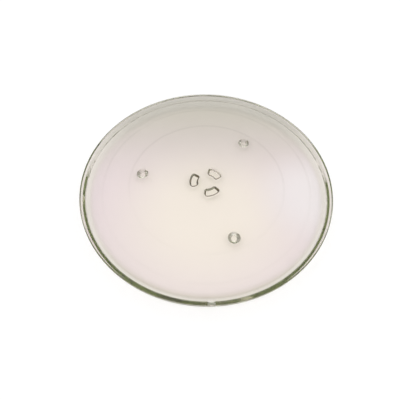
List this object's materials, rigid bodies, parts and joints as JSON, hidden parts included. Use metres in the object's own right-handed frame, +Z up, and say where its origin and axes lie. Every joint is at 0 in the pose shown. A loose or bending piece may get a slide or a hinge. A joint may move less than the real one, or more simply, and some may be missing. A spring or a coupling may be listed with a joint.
{
  "type": "microwave turntable plate",
  "caption": "Round clear glass plate with a shallow flared rim, feet and drive lugs moulded underneath, which turns food in a microwave oven.",
  "frame": {"origin": "middle of the plate on the plane that its three feet stand on", "axes": "+Z up out of the dish along the axis that the plate turns about; -Y towards the picture's viewer"},
  "size_m": [0.288, 0.288, 0.0161],
  "materials": {
    "clear_glass": "clear, fire-polished, faintly green along the rim"
  },
  "bodies": {
    "root": {"turntable_plate": "clear_glass"}
  },
  "joints": []
}
